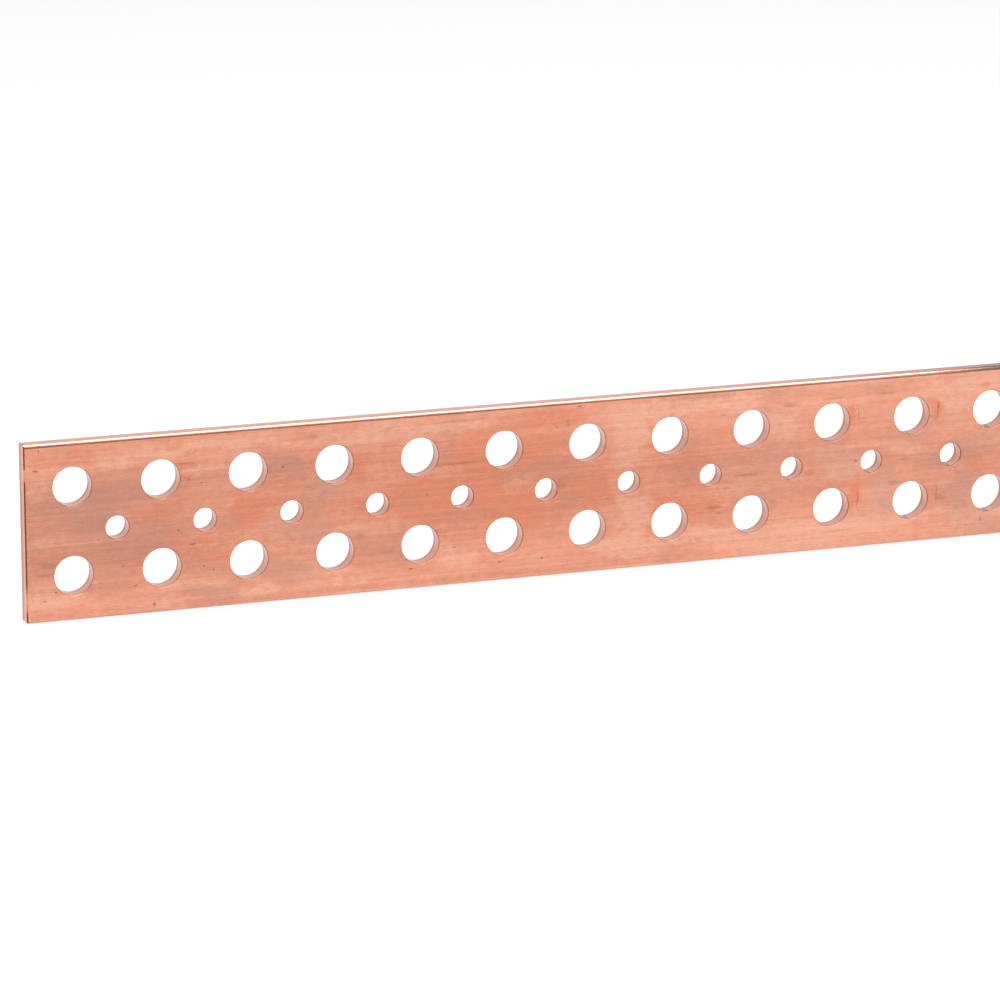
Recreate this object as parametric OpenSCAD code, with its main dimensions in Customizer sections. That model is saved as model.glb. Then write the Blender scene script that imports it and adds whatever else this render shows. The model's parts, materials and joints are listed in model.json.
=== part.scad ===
// Rack grounding busbar: a flat hard-drawn copper bar with rounded long edges,
// sheared ends and three rows of punched holes. One solid piece, in millimetres.
// X runs along the bar, Y through its thickness and Z across its width. The
// punch went in at the front face, which looks towards -Y. The origin is the
// middle of the lower long edge.

/* [Bar] */
// Width of the bar, from its lower to its upper long edge
bar_w = 50; // [46:1:80]
// Thickness of the bar
bar_t = 5; // [4:0.5:10]
// Radius of the four long edges, which come rounded from the drawing die
edge_r = 1; // [0.4:0.1:1.6]
// Bevel left by deburring the sheared ends
end_bevel = 0.3; // [0.1:0.05:0.5]

/* [Hole pattern] */
// Number of columns of large holes
columns = 16; // [4:1:30]
// Distance from one column to the next
column_pitch = 25; // [22:0.5:40]
// Distance between the two rows of large holes
row_gap = 25; // [22:0.5:30]
// Distance from each end of the bar to the nearest column
end_margin = 13.5; // [10:0.5:30]

/* [Holes] */
// Diameter of the large holes, clearance for M10 bolts
large_d = 11; // [9:0.1:12]
// Diameter of the small holes, clearance for M6 screws
small_d = 6.6; // [4.5:0.1:8]
// Radius of the rim that the punch rolls in at the front face
roll_r = 0.5; // [0.45:0.05:0.8]
// Depth of the rolled rim below the front face
roll_depth = 0.4; // [0.2:0.05:0.45]
// Height of the torn zone, where the slug broke away at the back face
tear_h = 1.4; // [0.5:0.1:2]
// Widening of the hole's radius over the torn zone
tear_flare = 0.12; // [0.05:0.01:0.2]

/* [Finish] */
// Colour of the bare metal
bar_colour = "#E89C7E"; // [#E89C7E:Copper, #C9A05A:Brass, #C8CCD0:Tinned copper]

/* [Hidden] */
// Segments of a full turn of a hole, of a long edge and of a rolled rim
hole_fn = 36;
edge_fn = 32;
rim_fn = 16;
// Length by which a cutting tool runs past the face that it cuts
overrun = 1;
bar_l = 2 * end_margin + (columns - 1) * column_pitch;

// Section of the drawn bar, centred, with its thickness along x
module bar_section() {
    square([bar_t, bar_w - 2 * edge_r], center = true);
    square([bar_t - 2 * edge_r, bar_w], center = true);
    for (x = [-1, 1])
        for (y = [-1, 1])
            translate([x * (bar_t / 2 - edge_r), y * (bar_w / 2 - edge_r)])
                circle(r = edge_r, $fn = edge_fn);
}

// Rectangle of the given size, centred, with bevelled corners
module bevelled(size, bevel) {
    x = size[0] / 2;
    y = size[1] / 2;
    polygon([
        [bevel - x, -y], [x - bevel, -y], [x, bevel - y], [x, y - bevel],
        [x - bevel, y], [bevel - x, y], [-x, y - bevel], [-x, bevel - y]
    ]);
}

// Bar before punching, with every edge of its two ends deburred
module blank() {
    intersection() {
        rotate([90, 0, 90])
            linear_extrude(bar_l, center = true)
                bar_section();
        linear_extrude(bar_w + 2 * overrun, center = true)
            bevelled([bar_l, bar_t], end_bevel);
        rotate([90, 0, 0])
            linear_extrude(bar_t + 2 * overrun, center = true)
                bevelled([bar_l, bar_w], end_bevel);
    }
}

// Half section of a punched hole, with y as the depth below the front face
module hole_profile(r) {
    difference() {
        polygon([
            [0, -overrun], [r + roll_r, -overrun], [r + roll_r, roll_depth], [r, roll_depth],
            [r, bar_t - tear_h], [r + tear_flare, bar_t],
            [r + tear_flare, bar_t + overrun], [0, bar_t + overrun]
        ]);
        translate([r + roll_r, roll_depth])
            circle(r = roll_r, $fn = rim_fn);
    }
}

// Punched hole of diameter d at x along the bar and z from its centre line
module punched_hole(d, x, z) {
    translate([x, -bar_t / 2, z])
        rotate([-90, 0, 0])
            rotate_extrude($fn = hole_fn)
                hole_profile(d / 2);
}

// Two rows of large holes in line with each other
module large_holes() {
    for (i = [0 : columns - 1])
        for (z = [-row_gap / 2, row_gap / 2])
            punched_hole(large_d, (i - (columns - 1) / 2) * column_pitch, z);
}

// Middle row of small holes, each halfway between two columns
module small_holes() {
    for (i = [1 : columns - 1])
        punched_hole(small_d, (i - columns / 2) * column_pitch, 0);
}

// The whole bar, standing on its lower long edge
module busbar() {
    color(bar_colour)
        translate([0, 0, bar_w / 2])
            difference() {
                blank();
                large_holes();
                small_holes();
            }
}

busbar();
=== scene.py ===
"""Looks of the rack grounding busbar: bare drawn copper on a pale floor, in soft studio light.

The bar itself is the CAD model's own mesh. This script gives it its copper, which is one
procedural material: drawing streaks, clouds of tarnish, punched hole walls, sheared ends and
the small marks that handling left, with painted shade along its long roundings, inside its hole
rims and at its left end, and a painted brightening towards its right end. Positions in the
material are millimetres from the bar's left end, front face and lower long edge, as in the CAD model.
"""

import json
import math
from types import SimpleNamespace

import bpy
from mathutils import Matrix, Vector


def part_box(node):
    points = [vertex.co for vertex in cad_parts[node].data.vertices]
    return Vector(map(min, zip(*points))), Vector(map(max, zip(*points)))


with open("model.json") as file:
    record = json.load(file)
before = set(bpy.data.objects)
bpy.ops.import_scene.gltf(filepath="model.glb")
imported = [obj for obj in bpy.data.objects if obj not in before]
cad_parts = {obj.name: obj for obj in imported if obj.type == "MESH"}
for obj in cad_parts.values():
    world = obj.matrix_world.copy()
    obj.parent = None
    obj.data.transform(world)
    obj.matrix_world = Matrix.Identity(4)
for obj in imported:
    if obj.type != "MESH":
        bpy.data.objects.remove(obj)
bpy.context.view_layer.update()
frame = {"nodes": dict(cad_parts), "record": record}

MM = 0.001
BAR = frame["nodes"]["busbar"]
LOW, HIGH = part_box("busbar")
MOUNTS = {mount["name"]: mount for mount in frame["record"]["mounts"]}

# ---- the bar and its hole pattern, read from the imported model, in millimetres ----
LARGE = MOUNTS["left_joint"]
SMALL = MOUNTS["standoff_fixing"]
PITCH = LARGE["dims"]["spacing_x_mm"]
ROW_GAP = LARGE["dims"]["spacing_y_mm"]
LARGE_R = LARGE["dims"]["hole_r_mm"]
SMALL_R = SMALL["dims"]["hole_r_mm"]
LENGTH = (HIGH.x - LOW.x) / MM
THICK = (HIGH.y - LOW.y) / MM
WIDTH = (HIGH.z - LOW.z) / MM
FIRST_COLUMN = (LARGE["pos_m"][0] - LOW.x) / MM - PITCH / 2
RIM = 0.2           # width of the front rims that the punch rolled in
RIM_DEPTH = 0.4     # of the same rims, below the front face
TORN_FROM = 3.6     # depth at which a punched wall stops being burnished
ROUNDING = 1.0      # radius of the long edges
BEVEL = 0.3         # on the sheared ends

# ---- camera ----
CAMERA_TURN = math.radians(20.13)   # to the left of the front face's normal
CAMERA_RISE = math.radians(13.92)   # above the level
CAMERA_DISTANCE = 1.4176
CAMERA_LENS = 182.08
AIM_ALONG = 0.13714                 # from the left end
AIM_HEIGHT = 0.02325                # above the lower long edge

# ---- colours, linear ----
BARE = (0.755, 0.276, 0.168)        # orange copper
BLOOM = (0.810, 0.400, 0.280)       # cream film
TARNISH = (0.570, 0.275, 0.202)     # mauve-grey film
BURNISHED = (0.600, 0.318, 0.250)   # where the punch or the die rubbed hardest
TORN = (0.600, 0.270, 0.195)        # where the slug or the offcut broke away
# also the colour of the painted shade lines along the long roundings, the bottom edge and inside the hole
# rims
GRIME_AND_SHADE = (0.115, 0.060, 0.045)

# ---- studio ----
FLOOR_REACH = 12                    # metres to each side
FLOOR_GAP = 0.00005                 # below the bar's lowest point
FLOOR_GREY = 0.86
FLOOR_WHITE = 0.72                  # share of plain white that the camera sees
WORLD_LEVEL = 0.75
LAMP_SIZE = (1.0, 0.8)
LAMP_ENERGY = 12.5
LAMP_PLACE = (0.01, 0.0, 1.0)
SIDE_CARD_X = 0.6
SIDE_CARD_RADIUS = 1.17
SIDE_CARD_COLOUR = (0.12, 0.26, 0.38)
FRONT_CARD_Y = -2.2
FRONT_CARD_COLOUR = (0.35, 0.33, 0.32)

# ---- marks on the front face: from the left end, height, half length, half height, strength ----
TARNISHED_PATCHES = [
    (18, 26.5, 8, 5, 0.80), (9, 31, 7, 2.5, 0.60), (26, 34, 13, 4, 0.40), (28, 18, 12, 4, 0.55),
    (38, 23, 12, 3, 0.45), (26, 10, 8, 5, 0.35), (48, 12, 6, 4, 0.35), (58, 24, 4, 2.5, 0.45),
    (75, 38, 5, 6, 0.40), (83, 29, 6, 6, 0.50), (80, 20, 11, 5, 0.40), (75, 9, 10, 5, 0.30),
    (96, 13, 8, 6, 0.35), (105, 13, 5, 6, 0.30), (130, 19, 9, 4, 0.30), (147, 31, 14, 3, 0.30),
    (160, 22, 6, 2.5, 0.45), (157, 27, 5, 2.5, 0.40), (191, 26, 7, 3, 0.35), (195, 33, 9, 4, 0.30),
    (216, 27, 16, 7, 0.30), (255, 16, 8, 11, 0.40), (240, 26, 6, 6, 0.30), (277, 15, 8, 7, 0.45),
    (263, 33, 9, 5, 0.25), (272, 25, 8, 3, 0.35), (284, 27, 9, 4, 0.35), (7, 15, 6, 3, 0.35),
]
BLOOMED_PATCHES = [
    (5, 23, 6, 2.2, 0.5), (4, 38, 4, 4, 0.5), (8, 7, 9, 4, 0.45), (25, 42, 6, 2.5, 0.45),
    (51, 39.5, 8, 1.5, 0.5), (55, 45.5, 30, 1.4, 0.5), (95, 44.5, 12, 3, 0.35), (50, 6, 9, 1.8, 0.4),
    (65, 4, 7, 1.8, 0.4), (92, 4.5, 9, 1.6, 0.4), (77, 10, 9, 4, 0.35), (83, 30, 5, 5, 0.35),
    (120, 45.5, 14, 2, 0.35), (125, 9, 8, 3.5, 0.35), (142, 28, 4, 3, 0.4), (155, 34.5, 6, 1.5, 0.45),
    (176, 37, 8, 9, 0.65), (187, 46, 17, 3.5, 0.5), (177, 16, 6, 7, 0.6), (178, 7, 13, 4, 0.55),
    (196, 7, 12, 4, 0.45), (222, 38, 5, 6, 0.45), (241, 26, 6, 6, 0.5), (255, 13, 8, 9, 0.55),
    (228, 9, 8, 2.5, 0.4), (252, 6, 18, 2.5, 0.5), (277, 15, 7, 6, 0.3), (276, 40, 7, 2.5, 0.5),
    (285, 28, 8, 3, 0.6), (263, 28, 7, 2.5, 0.35), (212, 46, 12, 3, 0.3), (290, 46, 20, 3, 0.3),
    (70, 18, 16, 4, 0.3), (100, 19, 12, 3, 0.25), (285, 7, 18, 4, 0.35),
]
PALE_LINES = [
    (11.5, 29.7, 13, 0.28, 0.6), (9.5, 33.2, 9, 0.18, 0.4), (16.5, 21.4, 18, 0.30, 0.7),
    (30, 27.9, 8, 0.16, 0.4), (52, 3.2, 14, 0.25, 0.5), (10, 4.6, 9, 0.3, 0.5),
    (211.4, 46.4, 1.8, 0.25, 0.6), (36.3, 3.9, 1.6, 0.3, 0.5), (63.5, 19.8, 1.0, 0.4, 0.6),
    (106.4, 38.7, 1.2, 0.4, 0.7), (22.4, 30.9, 0.3, 1.6, 0.5), (118, 4.2, 9, 0.2, 0.4),
    (262, 10.6, 9, 0.2, 0.4), (250, 31.4, 12, 0.2, 0.35),
]
BARE_PATCHES = [
    (116, 25, 14, 8, 0.5), (140, 38, 20, 9, 0.5), (140, 22, 13, 7, 0.5), (165, 25, 6, 3.5, 0.7),
    (64, 26, 6, 4, 0.5), (93, 36, 5, 5, 0.5), (55, 15.2, 9, 1.2, 0.5), (10, 45, 11, 2.5, 0.3),
    (244.6, 39.5, 1.8, 3.2, 0.7), (269.4, 39, 2.4, 3.2, 0.8), (244.6, 14.5, 1.8, 4.2, 0.7),
    (269.6, 14, 2.2, 4, 0.8), (287.3, 44.8, 3.2, 1.2, 0.7), (285.7, 22.6, 2.6, 2.4, 0.6),
    (275.5, 9.2, 6.5, 0.25, 0.8), (150, 46, 17, 3, 0.4), (37, 28, 7, 3, 0.4),
    (192, 18, 13, 4, 0.35), (300, 44, 12, 4, 0.3),
]
STAINS = [
    (6.3, 15.9, 2.4, 0.9, 0.30), (5.4, 13.2, 2.0, 0.6, 0.25), (44.7, 41.4, 3.0, 0.5, 0.22),
    (82.2, 46.0, 2.6, 0.7, 0.22), (105.0, 41.4, 4.5, 0.4, 0.25), (119.5, 41.4, 3.5, 0.4, 0.20),
    (124.0, 34.8, 7.0, 0.5, 0.25), (125.5, 47.0, 7.5, 0.5, 0.22), (95.6, 16.6, 2.0, 0.8, 0.22),
    (155.6, 25.8, 1.6, 0.9, 0.25), (202.0, 15.6, 2.8, 0.7, 0.35), (203.7, 13.7, 1.4, 0.4, 0.30),
    (205.9, 20.9, 1.5, 0.5, 0.25), (212.0, 24.2, 4.5, 0.5, 0.32), (225.3, 43.7, 2.4, 0.8, 0.30),
    (220.3, 15.9, 1.5, 0.6, 0.25), (231.5, 23.1, 1.8, 1.0, 0.25), (238.7, 44.5, 3.6, 0.4, 0.25),
    (255.0, 44.8, 3.4, 0.4, 0.25), (257.9, 18.1, 1.6, 0.8, 0.25), (240.7, 5.3, 5.5, 0.3, 0.25),
    (261.5, 24.8, 2.2, 0.7, 0.22), (273.0, 12.4, 2.6, 0.8, 0.25), (282.5, 3.6, 3.0, 0.2, 0.40),
    (285.8, 5.0, 0.3, 1.0, 0.55), (246.7, 39.2, 0.22, 2.8, 0.42), (246.7, 14.0, 0.22, 3.2, 0.40),
    (271.7, 38.9, 0.22, 2.7, 0.55), (271.7, 13.8, 0.22, 3.4, 0.45), (157.6, 43.8, 0.2, 1.6, 0.35),
]
SPECKS = [
    (3.3, 42.6, 0.9, 0.25, 0.5), (4.3, 48.1, 0.3, 0.3, 0.5), (46.3, 36.9, 0.3, 0.3, 0.45),
    (50.0, 35.6, 0.35, 0.25, 0.5), (47.4, 18.5, 0.9, 0.35, 0.4), (43.3, 22.8, 0.4, 0.3, 0.4),
    (73.5, 38.0, 0.4, 0.4, 0.4), (27.4, 13.9, 0.3, 0.3, 0.45), (50.5, 12.0, 0.3, 0.25, 0.5),
    (53.3, 10.6, 0.35, 0.3, 0.5), (31.0, 8.2, 0.7, 0.25, 0.45), (20.5, 22.0, 0.5, 0.2, 0.45),
    (8.3, 8.2, 0.35, 0.3, 0.5), (5.2, 6.0, 0.5, 0.3, 0.4), (36.2, 2.4, 0.5, 0.5, 0.5),
    (111.4, 45.6, 0.25, 0.25, 0.4), (115.6, 26.4, 0.35, 0.35, 0.45), (123.6, 28.7, 0.3, 0.3, 0.4),
    (110.6, 5.8, 0.7, 0.35, 0.5), (137.0, 5.3, 0.6, 0.35, 0.45), (149.7, 5.4, 0.6, 0.3, 0.45),
    (123.6, 10.7, 0.6, 0.25, 0.45), (108.5, 34.6, 0.3, 0.8, 0.35), (154.2, 42.9, 0.3, 0.3, 0.3),
    (160.9, 48.2, 0.9, 0.25, 0.5), (246.0, 25.6, 0.45, 0.4, 0.5), (228.2, 21.2, 0.3, 0.3, 0.3),
]
# where the dark line along the end bevel is worn away, in the same form
BEVEL_GAPS = [(0, 41.5, 1.5, 2.0, 0.8), (0, 6.5, 1.5, 3.5, 0.7)]


class Shader:
    """The nodes of one material, or of the world. Most calls add a node and return its output."""

    def __init__(self, owner):
        owner.use_nodes = True
        self.tree = owner.node_tree
        self.tree.nodes.clear()

    def feed(self, socket, value):
        if isinstance(value, bpy.types.NodeSocket):
            self.tree.links.new(value, socket)
        elif socket.type == "RGBA":
            socket.default_value = (*value, 1.0)
        else:
            socket.default_value = value

    def node(self, kind, output=0, settings=None, **inputs):
        made = self.tree.nodes.new(kind)
        for name, value in (settings or {}).items():
            setattr(made, name, value)
        for name, value in inputs.items():
            self.feed(made.inputs[name.replace("_", " ")], value)
        return made.outputs[output]

    def surface(self, shader, kind="ShaderNodeOutputMaterial"):
        made = self.tree.nodes.new(kind)
        self.tree.links.new(shader, made.inputs["Surface"])

    def calc(self, operation, *values):
        made = self.tree.nodes.new("ShaderNodeMath")
        made.operation = operation
        for socket, value in zip(made.inputs, values):
            self.feed(socket, value)
        return made.outputs[0]

    def vector(self, operation, *values):
        made = self.tree.nodes.new("ShaderNodeVectorMath")
        made.operation = operation
        for socket, value in zip(made.inputs, values):
            self.feed(socket, value)
        return made.outputs["Value" if operation == "LENGTH" else "Vector"]

    def fade(self, value, start, end, low=0.0, high=1.0):
        """Goes smoothly from low to high as the value goes from start to end."""
        return self.node(
            "ShaderNodeMapRange", settings={"interpolation_type": "SMOOTHSTEP"},
            Value=value, From_Min=start, From_Max=end, To_Min=low, To_Max=high,
        )

    def band(self, value, middle, half, soft):
        """Is 1 within half of the middle, and fades out over the soft width."""
        away = self.calc("ABSOLUTE", self.calc("SUBTRACT", value, middle))
        return self.fade(away, half + soft, half)

    def noise(self, place, stretch, detail=2.0, roughness=0.5):
        return self.node(
            "ShaderNodeTexNoise", Vector=self.vector("MULTIPLY", place, stretch),
            Scale=1.0, Detail=detail, Roughness=roughness,
        )

    def wander(self, place, scale, detail, roughness=0.5):
        """A noise with three parts, about zero, that moves marks off their exact places."""
        colour = self.node(
            "ShaderNodeTexNoise", output="Color", Vector=place,
            Scale=scale, Detail=detail, Roughness=roughness,
        )
        return self.vector("SUBTRACT", colour, (0.5, 0.5, 0.5))

    def blend(self, amount, first, second):
        made = self.tree.nodes.new("ShaderNodeMix")
        made.data_type = "RGBA"
        self.feed(made.inputs[0], amount)
        self.feed(made.inputs[6], first)
        self.feed(made.inputs[7], second)
        return made.outputs[2]

    def mix(self, share, first, second):
        """Two shaders, with the given share of the second."""
        made = self.tree.nodes.new("ShaderNodeMixShader")
        for socket, value in zip(made.inputs, (share, first, second)):
            self.feed(socket, value)
        return made.outputs[0]

    def all_of(self, *masks):
        result = masks[0]
        for mask in masks[1:]:
            result = self.calc("MULTIPLY", result, mask)
        return result

    def add_noises(self, total, rows):
        """Adds noises to the total, each taken about zero and times its amount."""
        for source, amount in rows:
            total = self.calc("MULTIPLY_ADD", self.calc("SUBTRACT", source, 0.5), amount, total)
        return total

    def marks(self, place, rows):
        """Soft ovals, added up: each row is the middle, the half length and height, the strength."""
        total = 0.0
        for x, z, half_x, half_z, strength in rows:
            scale = (1 / half_x, 0, 1 / half_z)
            offset = (-x / half_x, 0, -z / half_z)
            reach = self.vector("LENGTH", self.vector("MULTIPLY_ADD", place, scale, offset))
            total = self.calc("ADD", total, self.fade(reach, 1.25, 0.4, 0.0, strength))
        return total


def outside_hole(s, along, first, to_row, radius):
    """Distance outside the wall of the nearest hole in a row whose first hole is given."""
    to_column = s.calc("WRAP", s.calc("SUBTRACT", along, first), PITCH / 2, -PITCH / 2)
    squares = s.calc(
        "ADD", s.calc("MULTIPLY", to_column, to_column), s.calc("MULTIPLY", to_row, to_row))
    return s.calc("SUBTRACT", s.calc("SQRT", squares), radius)


def bar_zones(s, place):
    """Distances on the bar, and masks of the zones that its making left."""
    split = s.tree.nodes.new("ShaderNodeSeparateXYZ")
    s.feed(split.inputs[0], place)
    along, depth, height = split.outputs

    # from the middle line, the long edges, the ends and the two broad faces
    middle = s.calc("SUBTRACT", height, WIDTH / 2)
    off_middle = s.calc("ABSOLUTE", middle)
    edge = s.calc("SUBTRACT", WIDTH / 2, off_middle)
    off_centre = s.calc("ABSOLUTE", s.calc("SUBTRACT", along, LENGTH / 2))
    end = s.calc("SUBTRACT", LENGTH / 2, off_centre)
    skin = s.calc("MINIMUM", depth, s.calc("SUBTRACT", THICK, depth))
    front = s.fade(depth, 0.5, 0.3)

    # from the nearest hole; the row of small holes ends before the outer columns
    to_row = s.calc("SUBTRACT", off_middle, ROW_GAP / 2)
    large_gap = outside_hole(s, along, FIRST_COLUMN, to_row, LARGE_R)
    small_gap = outside_hole(s, along, FIRST_COLUMN + PITCH / 2, middle, SMALL_R)
    no_small = s.calc("MULTIPLY", s.calc("LESS_THAN", end, FIRST_COLUMN - LARGE_R), PITCH)
    gap = s.calc("MINIMUM", large_gap, s.calc("ADD", small_gap, no_small))

    # a punched wall: rim, a dark line of painted shade just inside the rim, burnished land, parting line
    # and torn zone
    in_hole = s.fade(gap, 0.2, 0.14)
    rim = s.all_of(s.fade(gap, RIM + 0.05, RIM - 0.05), front)
    painted_rim_shade = s.all_of(in_hole, s.band(depth, 0.36, 0.10, 0.14))
    past_rim = s.fade(depth, RIM_DEPTH - 0.1, RIM_DEPTH + 0.1)
    land = s.all_of(in_hole, past_rim, s.fade(depth, TORN_FROM, TORN_FROM - 0.1))
    parting = s.all_of(in_hole, s.band(depth, TORN_FROM, 0.05, 0.12))
    torn_hole = s.all_of(in_hole, s.fade(depth, TORN_FROM - 0.1, TORN_FROM))

    # a sheared end tears sooner than a punched wall does
    cut_end = s.fade(end, 0.1, 0.04)
    torn_end = s.all_of(cut_end, s.fade(depth, TORN_FROM - 1.2, TORN_FROM - 0.6))
    rounding = s.all_of(
        s.fade(edge, ROUNDING + 0.05, ROUNDING - 0.15),
        s.fade(skin, ROUNDING + 0.05, ROUNDING - 0.15),
    )
    return SimpleNamespace(
        along=along, height=height, middle=middle, off_middle=off_middle, edge=edge, end=end,
        skin=skin, front=front, rim=rim, painted_rim_shade=painted_rim_shade, land=land, parting=parting,
        torn=s.calc("MAXIMUM", torn_hole, torn_end), rounding=rounding,
    )


def drawn_surface(s, place):
    """Noises of the drawn surface, in millimetres, and the places that the marks wander to."""
    ripple = s.wander(place, 0.45, 4.0, 0.65)
    swirl = s.wander(place, 0.07, 1.0)
    stain_place = s.vector("MULTIPLY_ADD", ripple, (1.6, 0.0, 0.6), place)
    patch_place = s.vector("MULTIPLY_ADD", ripple, (4.5, 0.0, 2.6), place)
    patch_place = s.vector("MULTIPLY_ADD", swirl, (16.0, 0.0, 7.0), patch_place)
    return SimpleNamespace(
        spot_place=s.vector("MULTIPLY_ADD", ripple, (1.0, 0.0, 0.9), place),
        stain_place=stain_place,
        patch_place=patch_place,
        fine=s.noise(place, (0.30, 1.5, 4.2), detail=4.0, roughness=0.75),
        streaks=s.noise(place, (0.018, 0.7, 0.85), detail=4.0, roughness=0.62),
        bands=s.noise(place, (0.004, 0.3, 0.16), detail=2.0),
        clouds=s.noise(patch_place, (0.04, 0.2, 0.08), detail=5.0, roughness=0.6),
        veil=s.noise(patch_place, (0.03, 0.3, 0.07), detail=4.0, roughness=0.6),
        crackle=s.noise(stain_place, (0.42, 0.5, 0.55), detail=5.0, roughness=0.68),
        grain=s.noise(place, (2.6, 2.6, 3.4), detail=2.0),
    )


def dirt_and_painted_shade(s, place, zone, drawn):
    """Stains, specks, real dark lines on the end bevels and the parting lines, and painted shade along
    the long roundings, the bottom edge and inside the hole rims.
    """
    stains = s.all_of(zone.front, s.marks(drawn.stain_place, STAINS), s.fade(drawn.fine, 0.30, 0.60))
    specks = s.all_of(zone.front, s.marks(drawn.spot_place, SPECKS))
    patchy = s.fade(s.noise(place, (0.05, 0.2, 0.2), detail=3.0), 0.3, 0.6, 0.25, 0.85)
    # painted shade: a dark line where each long rounding meets the broad face, stronger along the upper
    # one, stands in for a dark reflection there
    painted_arris_shade = s.all_of(s.band(zone.edge, ROUNDING - 0.08, 0.04, 0.12), s.fade(zone.skin, 0.3, 0.1))
    painted_arris_shade = s.all_of(painted_arris_shade, patchy, s.fade(zone.middle, -1.0, 1.0, 0.15, 1.0))
    # painted shade: a dark line along the bottom edge, where the rounding faces the floor, stronger near
    # the left end
    painted_foot_shade = s.all_of(
        s.fade(zone.height, 0.30, 0.12), patchy, s.fade(zone.along, 90.0, 130.0, 1.0, 0.4))
    bevel = s.all_of(
        s.fade(zone.end, BEVEL + 0.12, BEVEL - 0.02), s.fade(zone.skin, BEVEL + 0.1, BEVEL - 0.05))
    bevel = s.calc("SUBTRACT", bevel, s.marks(drawn.spot_place, BEVEL_GAPS))
    bevel = s.all_of(s.calc("MAXIMUM", bevel, 0.0), s.fade(drawn.fine, 0.3, 0.5, 0.6, 1.0))
    total = s.calc("ADD", stains, specks)
    # the lines along the long roundings, the bottom edge and inside the rims are painted shade; the bevel
    # and parting lines are real
    lines = ((painted_arris_shade, 0.7), (painted_foot_shade, 0.8), (bevel, 0.95), (zone.parting, 0.42), (zone.painted_rim_shade, 0.40))
    for line, amount in lines:
        total = s.calc("MULTIPLY_ADD", line, amount, total)
    return SimpleNamespace(total=total, specks=specks)


def copper_colour(s, place, zone, drawn, grime_and_shade):
    """Orange copper under cream and mauve-grey films, streaked along the bar, with the stains and the
    painted shade.
    """
    lightness = s.add_noises(1.022, (
        (drawn.fine, 0.62), (drawn.streaks, 0.50), (drawn.bands, 0.20),
        (drawn.grain, 0.42), (drawn.crackle, 0.20)))
    margin = s.fade(s.calc("MULTIPLY_ADD", drawn.clouds, 8.0, zone.edge), 20.0, 9.0)
    lightness = s.calc("MULTIPLY", lightness, s.calc("MULTIPLY_ADD", margin, 0.10, 0.98))

    # cream film: more of it towards the long edges; a painted brightening blends the right end further
    # towards the cream
    bloomed = s.all_of(
        zone.front, s.marks(drawn.patch_place, BLOOMED_PATCHES),
        s.fade(drawn.crackle, 0.30, 0.60, 0.35, 1.4))
    pale_lines = s.all_of(
        zone.front, s.marks(place, PALE_LINES), s.fade(drawn.streaks, 0.35, 0.55, 0.4, 1.0))
    bloomed = s.calc("ADD", bloomed, pale_lines)
    bared = s.all_of(zone.front, s.marks(drawn.patch_place, BARE_PATCHES))
    painted_right_light = s.all_of(zone.front, s.fade(zone.along, 190.0, 225.0, 0.0, 0.20))
    bloom = s.calc("ADD", s.calc("MULTIPLY_ADD", margin, 0.26, 0.26), painted_right_light)
    bloom = s.add_noises(bloom, (
        (drawn.clouds, 1.5), (drawn.crackle, 1.0), (drawn.streaks, 0.6), (drawn.veil, -0.8)))
    bloom = s.calc("SUBTRACT", s.calc("ADD", bloom, bloomed), bared)

    # mauve-grey film in patches; painted shade blends the middle near the left end towards the same
    # mauve-grey
    tarnished = s.all_of(
        zone.front, s.marks(drawn.patch_place, TARNISHED_PATCHES),
        s.fade(drawn.streaks, 0.25, 0.6, 0.7, 1.15))
    tarnish = s.calc("ADD", s.fade(drawn.veil, 0.50, 0.72, 0.0, 0.6), tarnished)
    tarnish = s.calc("SUBTRACT", tarnish, s.calc("MULTIPLY", bared, 0.3))
    painted_left_shade = s.all_of(
        zone.front, s.fade(zone.along, 70.0, 25.0), s.fade(zone.off_middle, 19.0, 9.0))

    long_edge = s.all_of(s.fade(zone.edge, 0.5, 0.2), s.fade(zone.skin, 0.5, 0.9))
    colour = s.blend(bloom, BARE, BLOOM)
    colour = s.blend(tarnish, colour, TARNISH)
    colour = s.blend(s.calc("MULTIPLY", painted_left_shade, 0.35), colour, TARNISH)
    colour = s.vector("SCALE", colour, (0, 0, 0), (0, 0, 0), lightness)
    colour = s.blend(s.all_of(s.calc("MAXIMUM", zone.land, long_edge), 0.85), colour, BURNISHED)
    colour = s.blend(s.calc("MULTIPLY", zone.torn, 0.85), colour, TORN)
    return s.blend(s.calc("MINIMUM", grime_and_shade, 0.95), colour, GRIME_AND_SHADE)


def roughness(s, zone, drawn, grime_and_shade):
    rough = s.add_noises(0.36, ((drawn.streaks, 0.16), (drawn.fine, 0.10)))
    zones = ((zone.rounding, 0.09), (zone.land, 0.26), (zone.rim, 0.60), (zone.torn, 0.52), (grime_and_shade, 0.60))
    for mask, target in zones:
        rough = s.calc("MULTIPLY_ADD", mask, s.calc("SUBTRACT", target, rough), rough)
    return rough


def bump(s, place, zone, drawn, specks):
    """Drawing lines, the scored lands, the torn metal and the pits under the specks, in mm."""
    scoring = s.noise(place, (4.0, 0.25, 4.0), detail=2.0)
    tearing = s.noise(place, (2.5, 1.6, 2.5), detail=4.0, roughness=0.65)
    relief = s.calc(
        "ADD", s.calc("MULTIPLY", drawn.fine, 0.006), s.calc("MULTIPLY", drawn.streaks, 0.012))
    relief = s.calc("MULTIPLY", relief, s.calc("SUBTRACT", 1.0, zone.rounding))
    relief = s.calc("MULTIPLY_ADD", s.calc("MULTIPLY", scoring, zone.land), 0.010, relief)
    relief = s.calc("MULTIPLY_ADD", s.calc("MULTIPLY", tearing, zone.torn), 0.090, relief)
    relief = s.calc("MULTIPLY_ADD", specks, -0.02, relief)
    return s.node("ShaderNodeBump", Strength=1.0, Distance=MM, Height=relief)


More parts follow.
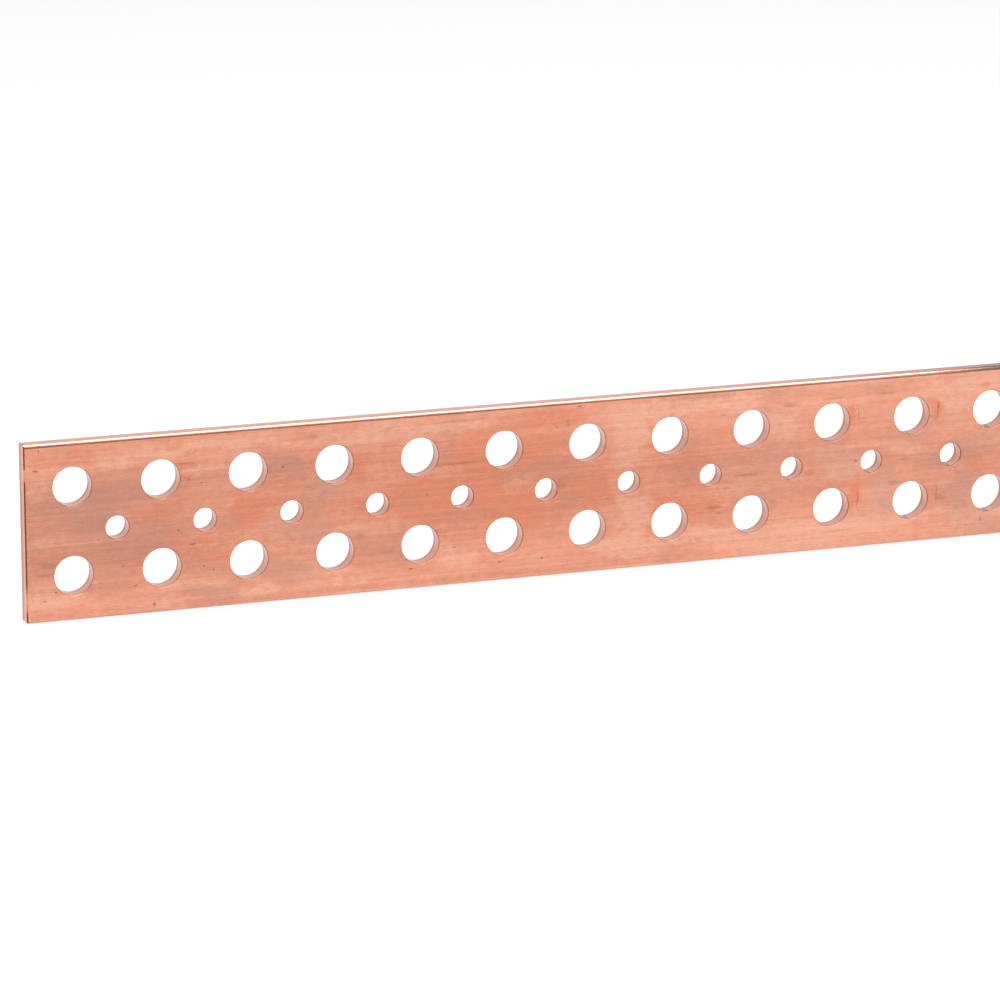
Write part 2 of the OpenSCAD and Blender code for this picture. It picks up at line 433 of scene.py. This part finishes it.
def copper_material():
    material = bpy.data.materials.new("drawn_copper")
    s = Shader(material)
    object_place = s.node("ShaderNodeTexCoord", output="Object")
    place = s.vector("MULTIPLY_ADD", object_place, (1 / MM,) * 3, tuple(-LOW / MM))
    zone = bar_zones(s, place)
    drawn = drawn_surface(s, place)
    grime_and_shade = dirt_and_painted_shade(s, place, zone, drawn)
    s.surface(s.node(
        "ShaderNodeBsdfPrincipled", Metallic=1.0,
        Base_Color=copper_colour(s, place, zone, drawn, grime_and_shade.total),
        Roughness=roughness(s, zone, drawn, grime_and_shade.total),
        Normal=bump(s, place, zone, drawn, grime_and_shade.specks),
    ))
    return material


def add_camera():
    forward = Vector((
        math.sin(CAMERA_TURN) * math.cos(CAMERA_RISE),
        math.cos(CAMERA_TURN) * math.cos(CAMERA_RISE),
        -math.sin(CAMERA_RISE),
    ))
    aim = Vector((LOW.x + AIM_ALONG, LOW.y, LOW.z + AIM_HEIGHT))
    data = bpy.data.cameras.new("camera")
    data.lens = CAMERA_LENS
    data.sensor_width = 36.0
    camera = bpy.data.objects.new("camera", data)
    camera.matrix_world = forward.to_track_quat("-Z", "Y").to_matrix().to_4x4()
    camera.location = aim - CAMERA_DISTANCE * forward
    bpy.context.scene.collection.objects.link(camera)
    bpy.context.scene.camera = camera


def background_rays(s):
    """Is 1 for what the camera sees, straight on or in a reflection, and 0 for light on surfaces."""
    path = s.tree.nodes.new("ShaderNodeLightPath")
    seen = s.calc("MAXIMUM", path.outputs["Is Camera Ray"], path.outputs["Is Glossy Ray"])
    return s.calc("MAXIMUM", seen, path.outputs["Is Transmission Ray"])


def add_sheet(name, points):
    """One flat polygon of the studio, with a material of its own, which is returned."""
    mesh = bpy.data.meshes.new(name)
    mesh.from_pydata(points, [], [tuple(range(len(points)))])
    sheet = bpy.data.objects.new(name, mesh)
    bpy.context.scene.collection.objects.link(sheet)
    material = bpy.data.materials.new(name)
    mesh.materials.append(material)
    return sheet, Shader(material)


def add_floor():
    r, z = FLOOR_REACH, LOW.z - FLOOR_GAP
    _, s = add_sheet("floor", [(-r, -r, z), (r, -r, z), (r, r, z), (-r, r, z)])
    lit = s.node("ShaderNodeBsdfDiffuse", Color=(FLOOR_GREY,) * 3)
    white = s.node("ShaderNodeEmission", Color=(1, 1, 1), Strength=1.0)
    share = s.calc("MULTIPLY", background_rays(s), FLOOR_WHITE)
    s.surface(s.mix(share, lit, white))


def add_world():
    """White where it is seen, and a plain level of light elsewhere."""
    world = bpy.data.worlds.new("studio")
    bpy.context.scene.world = world
    s = Shader(world)
    level = s.calc("MULTIPLY_ADD", background_rays(s), 1 - WORLD_LEVEL, WORLD_LEVEL)
    sky = s.node("ShaderNodeBackground", Color=(1, 1, 1), Strength=level)
    s.surface(sky, "ShaderNodeOutputWorld")


def add_card(name, points, colour):
    """A plain card that only shows in the copper's reflections."""
    card, s = add_sheet(name, points)
    s.surface(s.node("ShaderNodeEmission", Color=colour, Strength=1.0))
    card.visible_camera = False
    card.visible_diffuse = False
    card.visible_shadow = False


def add_cards():
    angles = [math.radians(10 + 16 * i) for i in range(11)]
    disc = [
        (SIDE_CARD_X, -SIDE_CARD_RADIUS * math.cos(a), SIDE_CARD_RADIUS * math.sin(a)) for a in angles]
    add_card("side_card", disc, SIDE_CARD_COLOUR)
    y = FRONT_CARD_Y
    wall = [(-3.0, y, 0.24), (1.1, y, 0.24), (1.1, y, 1.4), (-3.0, y, 1.4)]
    add_card("front_card", wall, FRONT_CARD_COLOUR)


def add_lamp():
    data = bpy.data.lights.new("overhead_strip", "AREA")
    data.shape = "RECTANGLE"
    data.size, data.size_y = LAMP_SIZE
    data.energy = LAMP_ENERGY
    lamp = bpy.data.objects.new("overhead_strip", data)
    lamp.location = LAMP_PLACE
    bpy.context.scene.collection.objects.link(lamp)


add_camera()
add_floor()
add_world()
add_lamp()
add_cards()

BAR.data.materials.clear()
BAR.data.materials.append(copper_material())

bpy.context.scene.view_settings.view_transform = "Standard"
